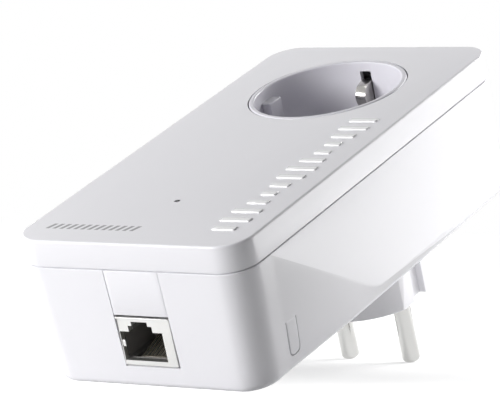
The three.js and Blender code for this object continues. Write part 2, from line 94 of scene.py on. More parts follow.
def loft(name, rings, closed=True):
    # rings of equal length, bridged in order; the first and last are capped
    count = len(rings[0])
    points = [p for ring in rings for p in ring]
    faces = []
    for r in range(len(rings) - 1):
        a, b = r * count, (r + 1) * count
        for i in range(count):
            j = (i + 1) % count
            faces.append((a + i, a + j, b + j, b + i))
    if closed:
        last = (len(rings) - 1) * count
        faces.append(tuple(reversed(range(count))))
        faces.append(tuple(range(last, last + count)))
    return faceOut(meshFrom(name, points, faces))


def faceOut(piece):
    work = bmesh.new()
    work.from_mesh(piece.data)
    bmesh.ops.remove_doubles(work, verts=work.verts, dist=1e-7)
    bmesh.ops.recalc_face_normals(work, faces=work.faces)
    work.to_mesh(piece.data)
    work.free()
    return piece


def applyModifiers(piece):
    graph = bpy.context.evaluated_depsgraph_get()
    graph.update()
    mesh = bpy.data.meshes.new_from_object(piece.evaluated_get(graph), depsgraph=graph)
    old = piece.data
    piece.modifiers.clear()
    piece.data = mesh
    bpy.data.meshes.remove(old)
    return piece


def combine(piece, tools, operation="DIFFERENCE"):
    # one exact boolean for each tool, whose object is removed afterwards
    for tool in tools:
        step = piece.modifiers.new("cut", "BOOLEAN")
        step.operation = operation
        step.solver = "EXACT"
        step.object = tool
        applyModifiers(piece)
        bpy.data.objects.remove(tool)
    return piece


def bevelled(piece, width, segments=3, angle=30):
    step = piece.modifiers.new("edges", "BEVEL")
    step.width = width * mm
    step.segments = segments
    step.limit_method = "ANGLE"
    step.angle_limit = math.radians(angle)
    step.use_clamp_overlap = True
    return applyModifiers(piece)


def joined(name, parts):
    work = bmesh.new()
    for part in parts:
        work.from_mesh(part.data)
        bpy.data.objects.remove(part)
    mesh = bpy.data.meshes.new(name)
    work.to_mesh(mesh)
    work.free()
    return addObject(name, mesh)


def blockMm(low, high, name="block"):
    (x0, y0, z0), (x1, y1, z1) = low, high
    rings = [
        [(x0, y0, z), (x1, y0, z), (x1, y1, z), (x0, y1, z)] for z in (z0, z1)
    ]
    return loft(name, rings)


def arc(centre, radius, start, end, steps):
    angles = [math.radians(start + (end - start) * i / steps) for i in range(steps + 1)]
    return [(centre[0] + radius * math.cos(a), centre[1] + radius * math.sin(a)) for a in angles]


def turned(name, profile, centre=(0, 0), steps=96, axis="Z"):
    # profile of (radius, height) pairs; ends on the axis are closed by the merge of doubles
    rings = []
    for radius, height in profile:
        ring = []
        for i in range(steps):
            a = 2 * math.pi * i / steps
            u, v = centre[0] + radius * math.cos(a), centre[1] + radius * math.sin(a)
            ring.append({"Z": (u, v, height), "X": (height, u, v), "Y": (v, height, u)}[axis])
        rings.append(ring)
    capped = profile[0][0] > 1e-6 and profile[0] != profile[-1]
    if profile[0] == profile[-1]:
        rings.pop()
        return ringed(name, rings)
    return loft(name, rings, closed=capped)


def ringed(name, rings):
    # rings that close on each other, as round a tube's wall
    count, total = len(rings[0]), len(rings)
    points = [p for ring in rings for p in ring]
    faces = []
    for r in range(total):
        a, b = r * count, ((r + 1) % total) * count
        for i in range(count):
            j = (i + 1) % count
            faces.append((a + i, a + j, b + j, b + i))
    return faceOut(meshFrom(name, points, faces))


def prism(name, outline, low, high, along="Y"):
    # outline pairs are (x, z) along Y, (y, z) along X and (x, y) along Z
    place = {
        "Y": lambda u, v, w: (u, w, v),
        "X": lambda u, v, w: (w, u, v),
        "Z": lambda u, v, w: (u, v, w),
    }[along]
    return loft(name, [[place(u, v, w) for u, v in outline] for w in (low, high)])


def finishPiece(piece, body, material, replaced=(), sharp=32):
    mesh = piece.data
    mesh.materials.clear()
    mesh.materials.append(material)
    mesh.polygons.foreach_set("material_index", [0] * len(mesh.polygons))
    mesh.polygons.foreach_set("use_smooth", [True] * len(mesh.polygons))
    mesh.set_sharp_from_angle(angle=math.radians(sharp))
    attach(piece, body)
    if replaced:
        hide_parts(*replaced)
    return piece


def groupWith(name, inputs, outputs):
    tree = bpy.data.node_groups.new(name, "ShaderNodeTree")
    for label, kind, value in inputs:
        socket = tree.interface.new_socket(label, in_out="INPUT", socket_type=kind)
        socket.default_value = value
    for label, kind in outputs:
        tree.interface.new_socket(label, in_out="OUTPUT", socket_type=kind)
    start = tree.nodes.new("NodeGroupInput")
    end = tree.nodes.new("NodeGroupOutput")
    return tree, start, end


def mathNode(tree, operation, first, second=None):
    node = tree.nodes.new("ShaderNodeMath")
    node.operation = operation
    for socket, value in zip(node.inputs, (first, second)):
        if value is None:
            continue
        if isinstance(value, (int, float)):
            socket.default_value = value
        else:
            tree.links.new(value, socket)
    return node.outputs[0]


def noiseNode(tree, vector, scale, detail=3.0, roughness=0.5):
    node = tree.nodes.new("ShaderNodeTexNoise")
    tree.links.new(vector, node.inputs["Vector"])
    node.inputs["Detail"].default_value = detail
    node.inputs["Roughness"].default_value = roughness
    if isinstance(scale, (int, float)):
        node.inputs["Scale"].default_value = scale
    else:
        tree.links.new(scale, node.inputs["Scale"])
    return node.outputs["Fac"]


def mixColour(tree, factor, first, second):
    node = tree.nodes.new("ShaderNodeMix")
    node.data_type = "RGBA"
    for socket, value in ((node.inputs[0], factor), (node.inputs[6], first), (node.inputs[7], second)):
        if hasattr(value, "is_output"):
            tree.links.new(value, socket)
        else:
            socket.default_value = value
    return node.outputs[2]


def moulding():
    # moulded plastic: fine spark-eroded grain, slow tone drift and faint handling haze
    tree, start, end = groupWith(
        "mouldedSurface",
        [
            ("Tone", "NodeSocketColor", (0.9, 0.9, 0.9, 1)),
            ("Drift", "NodeSocketFloat", 0.02),
            ("Gloss", "NodeSocketFloat", 0.25),
            ("Haze", "NodeSocketFloat", 0.05),
            ("Grain Scale", "NodeSocketFloat", 2600.0),
        ],
        [("Color", "NodeSocketColor"), ("Roughness", "NodeSocketFloat"), ("Height", "NodeSocketFloat")],
    )
    place = tree.nodes.new("ShaderNodeTexCoord").outputs["Object"]
    slow = noiseNode(tree, place, 18.0, 2.0)
    smear = noiseNode(tree, place, 90.0, 5.0, 0.6)
    grain = noiseNode(tree, place, start.outputs["Grain Scale"], 2.0)
    darker = mathNode(tree, "MULTIPLY", slow, start.outputs["Drift"])
    shade = tree.nodes.new("ShaderNodeHueSaturation")
    tree.links.new(start.outputs["Tone"], shade.inputs["Color"])
    tree.links.new(mathNode(tree, "SUBTRACT", 1.0, darker), shade.inputs["Value"])
    tree.links.new(shade.outputs["Color"], end.inputs["Color"])
    haze = mathNode(tree, "MULTIPLY", smear, start.outputs["Haze"])
    tree.links.new(mathNode(tree, "ADD", start.outputs["Gloss"], haze), end.inputs["Roughness"])
    tree.links.new(grain, end.inputs["Height"])
    return tree


def plating():
    # rolled or plated metal: drawn streaks and soft tarnish patches
    tree, start, end = groupWith(
        "platedSurface",
        [
            ("Tone", "NodeSocketColor", (0.8, 0.8, 0.8, 1)),
            ("Tarnish", "NodeSocketColor", (0.5, 0.45, 0.4, 1)),
            ("Age", "NodeSocketFloat", 0.2),
            ("Gloss", "NodeSocketFloat", 0.2),
            ("Streak", "NodeSocketFloat", 0.1),
        ],
        [("Color", "NodeSocketColor"), ("Roughness", "NodeSocketFloat"), ("Height", "NodeSocketFloat")],
    )
    place = tree.nodes.new("ShaderNodeTexCoord").outputs["Object"]
    stretch = tree.nodes.new("ShaderNodeMapping")
    stretch.inputs["Scale"].default_value = (1.0, 1.0, 0.06)
    tree.links.new(place, stretch.inputs["Vector"])
    streaks = noiseNode(tree, stretch.outputs["Vector"], 5200.0, 3.0, 0.6)
    patches = noiseNode(tree, place, 260.0, 4.0, 0.6)
    aged = mathNode(tree, "MULTIPLY", patches, start.outputs["Age"])
    worn = mixColour(tree, aged, start.outputs["Tone"], start.outputs["Tarnish"])
    tree.links.new(worn, end.inputs["Color"])
    rough = mathNode(tree, "MULTIPLY", streaks, start.outputs["Streak"])
    tree.links.new(mathNode(tree, "ADD", start.outputs["Gloss"], rough), end.inputs["Roughness"])
    tree.links.new(streaks, end.inputs["Height"])
    return tree


# where painted shade darkens the rear shell's lower facets and the strip along the back
facets = {  # lengths in millimetres; a pair is where a value fades, from and to
    "lineHeight": 25.4,
    "lineAt": -47.3,
    "lineSlope": -0.647,
    "bend": 4.0,
    "stripHeight": 21.7,
    "stripSlope": 0.055,
    "stripLeast": 21.8,
    "edge": (0.0, 0.25),
    "side": (30.2, 31.2),
    "nearEnd": (-95.0, -91.0),
    "far": (-50.0, -34.0),
    "high": (24.0, 50.0),
    "leastFacet": 0.1,
    # how much the painted shade darkens the facets and the strip
    "loss": 0.2,
}


def facetShadeMask():
    # 1 below the crease on the sides of the rear shell, where the painted shade goes; the crease bends into a
    # strip along the back
    tree, start, end = groupWith(
        "facetShadeMask",
        [
            ("Line Height", "NodeSocketFloat", facets["lineHeight"] * mm),
            ("Line At", "NodeSocketFloat", facets["lineAt"] * mm),
            ("Line Slope", "NodeSocketFloat", facets["lineSlope"]),
            ("Bend", "NodeSocketFloat", facets["bend"] * mm),
        ],
        [("Facet", "NodeSocketFloat"), ("Strip", "NodeSocketFloat")],
    )
    split = tree.nodes.new("ShaderNodeSeparateXYZ")
    tree.links.new(tree.nodes.new("ShaderNodeTexCoord").outputs["Object"], split.inputs[0])
    x, y, z = split.outputs
    past = mathNode(tree, "SUBTRACT", y, start.outputs["Line At"])
    run = mathNode(tree, "MULTIPLY", past, start.outputs["Line Slope"])
    line = mathNode(tree, "ADD", run, start.outputs["Line Height"])
    fall = mathNode(tree, "MULTIPLY", y, facets["stripSlope"])
    low = mathNode(tree, "SUBTRACT", facets["stripHeight"] * mm, fall)
    low = mathNode(tree, "MAXIMUM", low, facets["stripLeast"] * mm)
    crease = mathNode(tree, "SMOOTH_MAX", line, low)
    tree.links.new(start.outputs["Bend"], crease.node.inputs[2])
    below = fadeMm(tree, mathNode(tree, "SUBTRACT", crease, z), facets["edge"])
    side = fadeMm(tree, mathNode(tree, "ABSOLUTE", x), facets["side"])
    inside = mathNode(tree, "MULTIPLY", side, fadeMm(tree, y, facets["nearEnd"]))
    mask = mathNode(tree, "MULTIPLY", below, inside)
    far = fadeMm(tree, y, facets["far"])
    high = fadeMm(tree, z, facets["high"], facets["leastFacet"])
    near = mathNode(tree, "MULTIPLY", mathNode(tree, "SUBTRACT", 1.0, far), high)
    tree.links.new(mathNode(tree, "MULTIPLY", mask, near), end.inputs["Facet"])
    tree.links.new(mathNode(tree, "MULTIPLY", mask, far), end.inputs["Strip"])
    return tree


def ramp(tree, value, low, high, outLow=0.0, outHigh=1.0):
    node = tree.nodes.new("ShaderNodeMapRange")
    node.interpolation_type = "SMOOTHSTEP"
    tree.links.new(value, node.inputs["Value"])
    for label, number in (("From Min", low), ("From Max", high), ("To Min", outLow), ("To Max", outHigh)):
        node.inputs[label].default_value = number
    return node.outputs["Result"]


def fadeMm(tree, value, span, outLow=0.0, outHigh=1.0):
    return ramp(tree, value, span[0] * mm, span[1] * mm, outLow, outHigh)


surfaces = {"moulded": moulding(), "plated": plating(), "facet": facetShadeMask()}


def newMaterial(name, kind, values, bump, fixed):
    # kind names the shared surface; fixed values go straight on the Principled sockets
    material = bpy.data.materials.new(name)
    material.use_nodes = True
    tree = material.node_tree
    shader = tree.nodes["Principled BSDF"]
    surface = tree.nodes.new("ShaderNodeGroup")
    surface.node_tree = surfaces[kind]
    for label, value in values.items():
        surface.inputs[label].default_value = value
    tree.links.new(surface.outputs["Color"], shader.inputs["Base Color"])
    tree.links.new(surface.outputs["Roughness"], shader.inputs["Roughness"])
    relief = tree.nodes.new("ShaderNodeBump")
    relief.inputs["Strength"].default_value = bump[0]
    relief.inputs["Distance"].default_value = bump[1] * mm
    tree.links.new(surface.outputs["Height"], relief.inputs["Height"])
    tree.links.new(relief.outputs["Normal"], shader.inputs["Normal"])
    for label, value in fixed.items():
        shader.inputs[label].default_value = value
    return material


def plastic(name, tone, gloss=0.25, drift=0.02, haze=0.05, grain=2600.0, bump=(0.08, 0.01), coat=0.0):
    values = {"Tone": (*tone, 1), "Drift": drift, "Gloss": gloss, "Haze": haze, "Grain Scale": grain}
    return newMaterial(name, "moulded", values, bump, {"IOR": 1.5, "Coat Weight": coat})


def metal(name, tone, tarnish, gloss=0.2, age=0.2, streak=0.1, bump=(0.05, 0.005)):
    values = {"Tone": (*tone, 1), "Tarnish": (*tarnish, 1), "Age": age, "Gloss": gloss, "Streak": streak}
    return newMaterial(name, "plated", values, bump, {"Metallic": 1.0})


paint = {
    "case": plastic("caseWhite", (0.855, 0.85, 0.885), gloss=0.22, drift=0.012, haze=0.05),
    "cover": plastic("coverWhite", (0.855, 0.85, 0.885), gloss=0.22, drift=0.012, haze=0.05),
    "plug": plastic("plugWhite", (0.93, 0.925, 0.955), gloss=0.3, drift=0.015),
    "cup": plastic("socketLilacGrey", (0.72, 0.71, 0.76), gloss=0.28, drift=0.02),
    "shutter": plastic("shutterGrey", (0.62, 0.61, 0.66), gloss=0.4),
    "label": plastic("labelSilver", (0.62, 0.63, 0.64), gloss=0.42, grain=5200.0),
    "lens": plastic("lampSmoke", (0.05, 0.05, 0.055), gloss=0.15),
    "jackBlack": plastic("jackBlack", (0.13, 0.125, 0.12), gloss=0.35, haze=0.15),
    "bars": plastic("raisedWhite", (0.95, 0.95, 0.96), gloss=0.12, drift=0.01, coat=0.3),
    "nickel": metal("pinNickel", (0.54, 0.54, 0.53), (0.38, 0.37, 0.35), gloss=0.1, age=0.25),
    "clip": metal("clipNickel", (0.55, 0.54, 0.52), (0.3, 0.29, 0.27), gloss=0.14, age=0.3),
    "tin": metal("shieldTin", (0.78, 0.78, 0.77), (0.6, 0.59, 0.56), gloss=0.3, age=0.3, streak=0.2),
    "gold": metal("contactGold", (0.95, 0.9, 0.78), (0.7, 0.62, 0.48), gloss=0.3),
    "brass": metal("contactBrass", (0.76, 0.6, 0.3), (0.45, 0.33, 0.18), gloss=0.3, age=0.5),
    "steel": metal("screwZinc", (0.62, 0.62, 0.64), (0.45, 0.45, 0.44), gloss=0.3, age=0.4),
}


def paintFacetShade(material):
    # painted shade: the lower facets and the strip below them are darkened to a greyer tone than the walls,
    # standing in for the shade on their inward-leaning faces
    tree = material.node_tree
    shader = tree.nodes["Principled BSDF"]
    mask = tree.nodes.new("ShaderNodeGroup")
    mask.node_tree = surfaces["facet"]
    source = shader.inputs["Base Color"].links[0].from_socket
    paintedShade = tree.nodes.new("ShaderNodeHueSaturation")
    tree.links.new(source, paintedShade.inputs["Color"])
    facet = mathNode(tree, "MULTIPLY", mask.outputs["Facet"], facets["loss"])
    strip = mathNode(tree, "MULTIPLY", mask.outputs["Strip"], facets["loss"])
    loss = mathNode(tree, "ADD", facet, strip)
    tree.links.new(mathNode(tree, "SUBTRACT", 1.0, loss), paintedShade.inputs["Value"])
    tree.links.new(paintedShade.outputs["Color"], shader.inputs["Base Color"])


marks = {  # lengths in millimetres; dashEdge, firstEdge and lastEdge count in pitches
    "left": -26.5,
    "low": -93.1,
    "high": -90.2,
    "pitch": 2.06,
    "lean": 0.35,
    "dashEdge": (0.24, 0.29),
    "firstEdge": (-0.3, -0.28),
    "lastEdge": (12.7, 12.72),
    "soft": 0.08,
    "face": (58.6, 58.7),
    "strength": 0.85,
    "ink": (0.27, 0.27, 0.28, 1),
}


def printMarks(material):
    # grey slanted dashes printed on the face near the front edge, a generic mark
    tree = material.node_tree
    shader = tree.nodes["Principled BSDF"]
    split = tree.nodes.new("ShaderNodeSeparateXYZ")
    tree.links.new(tree.nodes.new("ShaderNodeTexCoord").outputs["Object"], split.inputs[0])
    x, y, z = split.outputs
    left, low, high, pitch = (marks[key] * mm for key in ("left", "low", "high", "pitch"))
    soft = marks["soft"] * mm
    lean = mathNode(tree, "MULTIPLY", mathNode(tree, "SUBTRACT", y, low), marks["lean"])
    leaned = mathNode(tree, "SUBTRACT", mathNode(tree, "SUBTRACT", x, left), lean)
    along = mathNode(tree, "DIVIDE", leaned, pitch)
    dash = ramp(tree, mathNode(tree, "PINGPONG", along, 0.5), *marks["dashEdge"], 1.0, 0.0)
    afterFirst = ramp(tree, along, *marks["firstEdge"])
    inX = mathNode(tree, "MULTIPLY", afterFirst, ramp(tree, along, *marks["lastEdge"], 1.0, 0.0))
    aboveLow = ramp(tree, y, low, low + soft)
    inY = mathNode(tree, "MULTIPLY", aboveLow, ramp(tree, y, high, high + soft, 1.0, 0.0))
    face = fadeMm(tree, z, marks["face"])
    dashes = mathNode(tree, "MULTIPLY", dash, face)
    mark = mathNode(tree, "MULTIPLY", dashes, mathNode(tree, "MULTIPLY", inX, inY))
    source = shader.inputs["Base Color"].links[0].from_socket
    ink = mixColour(tree, mathNode(tree, "MULTIPLY", mark, marks["strength"]), source, marks["ink"])
    tree.links.new(ink, shader.inputs["Base Color"])


# painted shade on the case's lower facets and strip
paintFacetShade(paint["case"])
printMarks(paint["cover"])
print("materials ready")

cameraView = {
    "aim": (-5.03, -37.91, 42.24),
    "azimuth": 35.26,
    "elevation": 19.91,
    "distance": 780.0,
    "roll": -11.96,
    "lens": 220.9,
}


def makeCamera(settings):
    a, e = math.radians(settings["azimuth"]), math.radians(settings["elevation"])
    back = Vector((math.sin(a) * math.cos(e), -math.cos(a) * math.cos(e), math.sin(e)))
    camera = bpy.data.objects.new("camera", bpy.data.cameras.new("camera"))
    camera.data.sensor_width = 36
    camera.data.lens = settings["lens"]
    camera.data.clip_start = 0.05
    place = (Vector(settings["aim"]) + back * settings["distance"]) * mm
    turn = (-back).to_track_quat("-Z", "Y").to_matrix().to_4x4()
    roll = Matrix.Rotation(math.radians(settings["roll"]), 4, "Z")
    camera.matrix_world = Matrix.Translation(place) @ turn @ roll
    bpy.context.scene.collection.objects.link(camera)
    bpy.context.scene.camera = camera


makeCamera(cameraView)
print("camera placed")

shell = {
    "wall": 2.2,
    "endDraft": 1.2,
    "facetSlope": 0.06,
    "stripInset": 0.6,
    "edgeRadius": 1.8,
    "stripHeight": 3.4,
    "facetFrom": 13.2,
    "facetTo": 54.0,
    "facetLow": 3.6,
    "turnLength": 5.0,
    "cavityInset": (3.2, 1.6),
    "cavityEdge": 0.8,
    "seamRadius": 0.25,
    "creaseLift": 0.12,
    "creaseTop": 0.7,
    "cutClear": 0.3,
    "screwHead": (3.3, 1.35),
    "screwBore": 1.85,
}


def outlinePoints(halfX, halfY, radius, cornerSteps, sideStep, endStep):
    # rounded rectangle about the origin with its outward normals, starting on the +X side
    corners = [(1, 1, 0), (-1, 1, 90), (-1, -1, 180), (1, -1, 270)]
    places = []
    for index, (sx, sy, start) in enumerate(corners):
        centre = (sx * (halfX - radius), sy * (halfY - radius))
        for i in range(cornerSteps + 1):
            a = math.radians(start + 90 * i / cornerSteps)
            normal = (math.cos(a), math.sin(a))
            places.append((centre[0] + radius * normal[0], centre[1] + radius * normal[1], normal))
        straight = 2 * (halfY - radius) if index % 2 else 2 * (halfX - radius)
        steps = round(straight / (sideStep if index % 2 else endStep))
        x, y, normal = places[-1]
        along = (-normal[1], normal[0])
        for i in range(1, steps):
            d = straight * i / steps
            places.append((x + along[0] * d, y + along[1] * d, normal))
    return places


def creaseHeight(y):
    # height above the back of the line where the wall turns into the lower facet
    top = case["partingZ"] - case["backZ"] - shell["creaseTop"]
    fromEnd = y - case["nearEnd"]
    slope = (top - shell["facetLow"]) / (shell["facetTo"] - shell["facetFrom"])
    line = top - slope * (fromEnd - shell["facetFrom"])
    soft = shell["turnLength"] * slope / 2
    gap = line - shell["stripHeight"]
    height = shell["stripHeight"] + (gap + math.sqrt(gap * gap + soft * soft)) / 2
    return min(top, height)


def insetDirection(x, y, normal):
    # lower faces lean in along X on the sides and near end, and along the normal at the far end
    if y > case["halfLength"] - case["cornerRadius"]:
        return (-normal[0], -normal[1])
    return (-x / case["halfWidth"], 0.0)


def shellPoint(x, y, normal, z, extra=0.0, facet=1.0):
    # place on the outside of the rear shell, before it is moved to the case's middle
    height = z - case["backZ"]
    crease = creaseHeight(y + case["middleY"])
    deepest = max(shell["stripInset"], shell["facetSlope"] * crease)
    lean = deepest * max(0.0, 1 - height / crease) * facet
    dx, dy = insetDirection(x, y, normal)
    drop = (case["partingZ"] - z) / (case["partingZ"] - case["backZ"])
    px = x + dx * lean - normal[0] * extra
    py = y * (1 - drop * shell["endDraft"] / case["halfLength"]) + dy * lean - normal[1] * extra
    return (px, py + case["middleY"], z)


def rearShellRings():
    # rings from the seam down the wall, past the crease, down the facet and round the back edge
    places = outlinePoints(case["halfWidth"], case["halfLength"], case["cornerRadius"], 16, 1.0, 2.0)
    top = case["partingZ"] - case["seam"] / 2
    edge, seamRadius, lift = shell["edgeRadius"], shell["seamRadius"], shell["creaseLift"]
    rings = []

    def addRing(height, inset=0.0):
        # height is a number, or a function of the crease height at a point
        ring = []
        for x, y, n in places:
            crease = case["backZ"] + creaseHeight(y + case["middleY"])
            ring.append(shellPoint(x, y, n, height(crease) if callable(height) else height, inset))
        rings.append(ring)

    for i in range(4):
        a = math.radians(30 * i)
        addRing(top - seamRadius * (1 - math.cos(a)), seamRadius * (1 - math.sin(a)))
    wallTop = top - seamRadius - 0.02
    for share in (0.25, 0.5, 0.75, 1.0):
        addRing(lambda crease: wallTop + (crease + lift - wallTop) * share)
    low = case["backZ"] + edge
    for share in (0.03, 0.15, 0.3, 0.45, 0.6, 0.75, 0.9, 1.0):
        addRing(lambda crease: crease + (low - crease) * share)
    for i in range(1, 7):
        a = math.radians(15 * i)
        addRing(low - edge * math.sin(a), edge * (1 - math.cos(a)))
    return rings


def makeShellCavity():
    places = outlinePoints(
        case["halfWidth"] - shell["wall"],
        case["halfLength"] - shell["wall"],
        case["cornerRadius"] - shell["wall"],
        8, 20.0, 20.0,
    )
    floor, top = case["backZ"] + shell["wall"], case["partingZ"] + 4
    insetX, insetY = shell["cavityInset"]
    rings = []
    for z, share in ((top, 0.0), (floor + shell["cavityEdge"], 0.97), (floor, 1.0)):
        rounding = shell["cavityEdge"] if z == floor else 0.0
        ring = []
        for x, y, n in places:
            px = x * (1 - share * insetX / case["halfWidth"]) - n[0] * rounding
            py = y * (1 - share * insetY / case["halfLength"]) - n[1] * rounding
            ring.append((px, py + case["middleY"], z))
        rings.append(ring)
    return loft("cavity", rings)


jack = {
    "skin": 0.3,
    "frame": (-6.95, 8.3, 26.4, 39.2),
    "forward": 1.15,
    "lip": 0.5,
    "way": [
        (-6.15, -4.73), (6.15, -4.73), (6.15, 2.9), (3.45, 2.9), (3.45, 4.45), (2.3, 4.45),
        (2.3, 5.55), (-2.3, 5.55), (-2.3, 4.45), (-3.45, 4.45), (-3.45, 2.9), (-6.15, 2.9),
    ],
    "edge": 0.35,
    "plateEdge": 0.2,
    "smallEdge": 0.12,
    "tongue": (0.4, 1.25, 31.3, 33.0),
    "wires": 8,
    "wirePitch": 1.02,
    "wireThickness": 0.3,
    "wireWidth": 0.5,
}
plugHigh = boxOf("plug_base")[1]
panelLow, panelHigh = boxOf("port_panel")
tabLow, tabHigh = boxOf("pairing_tab")
jackLow, jackHigh = boxOf("jack_shield")
labelLow, labelHigh = boxOf("rating_label")
screwNodes = sorted(n for n in nodes if n.startswith("case_screw"))
plug = {
    "radius": 18.4,
    "flat": 16.0,
    "grooveHalf": 3.0,
    "grooveBottom": 14.2,
    "grooveHigh": 18.6,
    "edge": 0.7,
    "earthSlotHalf": 2.9,
    "earthSlotBottom": 16.2,
    "cutTo": 30.0,
    "pinHole": 2.55,
    "soft": 0.3,
}
notch = {
    "left": panelLow.x - 0.12,
    "right": panelHigh.x + 0.12,
    "high": panelLow.z,
}
tabShape = {
    "gap": 0.26,
    "corner": 1.5,
    "margin": 0.5,
    "thickness": 1.5,
    "edge": 0.14,
    "nubRadius": 1.1,
    "nubHeight": 28.3,
    "nubLength": 2.2,
}
panel = {"gap": 0.14, "depth": 1.9, "steps": 12, "edge": 0.14}


def tabOutline(grow):
    # U outline of the tab in y and z: straight hinge end on top, round lower corners
    low, high = tabLow.y - grow, tabHigh.y + grow
    bottom, top = tabLow.z - grow, tabHigh.z
    r = tabShape["corner"] + grow
    left = arc((low + r, bottom + r), r, 180, 270, 6)
    right = arc((high - r, bottom + r), r, 270, 360, 6)
    return [(low, top), *left, *right, (high, top)]


def buildRearShell():
    body = loft("rearShellSkin", rearShellRings())
    cuts = [makeShellCavity()]
    holeRadius = plug["radius"] + 0.25
    cuts.append(turned("plugHole", [(holeRadius, 15), (holeRadius, 24)]))
    cuts.append(blockMm((notch["left"], -110, notch["high"]), (notch["right"], -94, 60)))
    left, right, under = jack["frame"][:3]
    cuts.append(blockMm((left - 0.15, -110, under - 0.4), (right + 0.5, -94, notch["high"] + 0.1)))
    clear = shell["cutClear"]
    jackCorner = (jackHigh.x + clear, -92, jackHigh.z + clear)
    cuts.append(blockMm((jackLow.x - clear, jackLow.y - clear, jackLow.z - clear), jackCorner))
    cuts.append(prism("tabHole", tabOutline(tabShape["gap"]), 24, 40, along="X"))
    labelCorner = (labelHigh.x + 0.2, labelHigh.y + 0.2, labelHigh.z + 0.12)
    cuts.append(blockMm((labelLow.x - 0.2, labelLow.y - 0.2, 15), labelCorner))
    headRadius, headDepth = shell["screwHead"]
    boreRadius = shell["screwBore"]
    for node in screwNodes:
        centre = middleOf(node)
        cuts.append(turned("head", [(headRadius, 15), (headRadius, case["backZ"] + headDepth)], centre, 40))
        cuts.append(turned("bore", [(boreRadius, 15), (boreRadius, 26)], centre, 32))
    combine(body, cuts)
    body.name = "rearShell"
    return finishPiece(body, "case", paint["case"], ["rear_shell"], 28)


buildRearShell()
print("rear shell built")


def buildPortPanel():
    # strip of the near wall above the jack, on the same surface as the shell
    steps, gap = panel["steps"], panel["gap"]
    width = notch["right"] - notch["left"] - 2 * gap
    xs = [notch["left"] + gap + width * i / steps for i in range(steps + 1)]
    zLow, zHigh = panelLow.z + 0.1, case["partingZ"] - case["seam"] / 2 - 0.02
    outline = [(x, zLow) for x in xs] + [(x, zHigh) for x in reversed(xs)]
    rings = []
    for depth in (0.02, panel["depth"]):
        ring = []
        for x, z in outline:
            px, py, pz = shellPoint(x, -case["halfLength"], (0, -1), z, facet=0.0)
            ring.append((px, py + depth, pz))
        rings.append(ring)
    piece = bevelled(loft("portPanel", rings), panel["edge"], 2)
    return finishPiece(piece, "case", paint["case"], ["port_panel"])


def buildTab():
    # plate on the shell's own surface, cut to the tab's outline, with the nub that meets the plunger
    def spread(low, high, steps):
        low, high = low - tabShape["margin"], high + tabShape["margin"]
        return [low + (high - low) * i / steps for i in range(steps + 1)]

    ys = spread(tabLow.y, tabHigh.y, 10)
    rings = []
    for z in spread(tabLow.z, tabHigh.z, 20):
        outer = [shellPoint(case["halfWidth"], y - case["middleY"], (1, 0), z, 0.03) for y in ys]
        inner = [(x - tabShape["thickness"], y, z) for x, y, z in reversed(outer)]
        rings.append(outer + inner)
    plate = loft("tabPlate", rings)
    shape = prism("tabCut", tabOutline(0.0), 20, 40, along="X")
    combine(plate, [shape], "INTERSECT")
    bevelled(plate, tabShape["edge"], 2)
    nubPlace = ((tabLow.y + tabHigh.y) / 2, tabShape["nubHeight"])
    nubRadius, nubEnd = tabShape["nubRadius"], tabLow.x + tabShape["nubLength"]
    nub = turned("nub", [(nubRadius, tabLow.x + 0.05), (nubRadius, nubEnd)], nubPlace, 32, "X")
    tab = joined("pairingTab", [plate, nub])
    return finishPiece(tab, "tab", paint["case"], ["pairing_tab"])


buildPortPanel()
buildTab()
print("panel and tab built")

cover = {
    "edgeRadius": 0.6,
    "wall": 3.5,
    "face": 2.0,
    "socketRadius": 21.3,
    "lampRadius": 0.8,
    "lipDepth": 2.0,
    "lipInset": 3.1,
    "lipThickness": 1.1,
    "seamRadius": 0.25,
    "bossRadius": (1.7, 3.2),
    "bossTop": 1.9,
}
cupLow, cupHigh = boxOf("socket_cup")
lampPlace = middleOf("light_guide")


def coverRing(places, z, inset):
    return [(x - n[0] * inset, y - n[1] * inset + case["middleY"], z) for x, y, n in places]


def buildCover():
    places = outlinePoints(case["halfWidth"], case["halfLength"], case["cornerRadius"], 24, 6.0, 6.0)
    bottom, top, r = case["partingZ"] + case["seam"] / 2, case["faceZ"], cover["edgeRadius"]
    soft = cover["seamRadius"]
    rings = [coverRing(places, bottom + soft * (1 - math.sin(a)), soft * (1 - math.cos(a)))
             for a in (math.radians(90 - 30 * i) for i in range(4))]
    rings.append(coverRing(places, top - r, 0.0))
    rings += [coverRing(places, top - r * (1 - math.sin(a)), r * (1 - math.cos(a)))
              for a in (math.radians(10 * i) for i in range(1, 10))]
    skin = loft("coverSkin", rings)
    wall, lipInset = cover["wall"], cover["lipInset"]
    inner = outlinePoints(case["halfWidth"] - wall, case["halfLength"] - wall, 4.5, 8, 30.0, 30.0)
    hollow = loft("hollow", [coverRing(inner, z, 0) for z in (bottom - 4, top - cover["face"])])
    socket = turned("socketHole", [(cover["socketRadius"], 45), (cover["socketRadius"], 65)], steps=144)
    lamp = turned("lampHole", [(cover["lampRadius"], 45), (cover["lampRadius"], 65)], lampPlace, 32)
    combine(skin, [hollow, socket, lamp])
    lipOut = outlinePoints(case["halfWidth"] - lipInset, case["halfLength"] - lipInset, 4.9, 8, 30.0, 30.0)
    lipLow, lipHigh, thickness = bottom - cover["lipDepth"], bottom + 0.5, cover["lipThickness"]
    corners = [(lipLow, 0.0), (lipHigh, 0.0), (lipHigh, thickness), (lipLow, thickness)]
    lip = ringed("lip", [coverRing(lipOut, z, inset) for z, inset in corners])
    skin.name = "coverShell"
    parts = [skin, lip]
    bore, outer = cover["bossRadius"]
    low, high = coverLow.z, top - cover["bossTop"]
    profile = [(bore, low), (outer, low), (outer, high), (bore, high), (bore, low)]
    for node in screwNodes:
        parts.append(turned("boss", profile, middleOf(node), 32))
    whole = joined("frontCover", parts)
    return finishPiece(whole, "case", paint["cover"], ["front_cover"], 28)


buildCover()
print("front cover built")

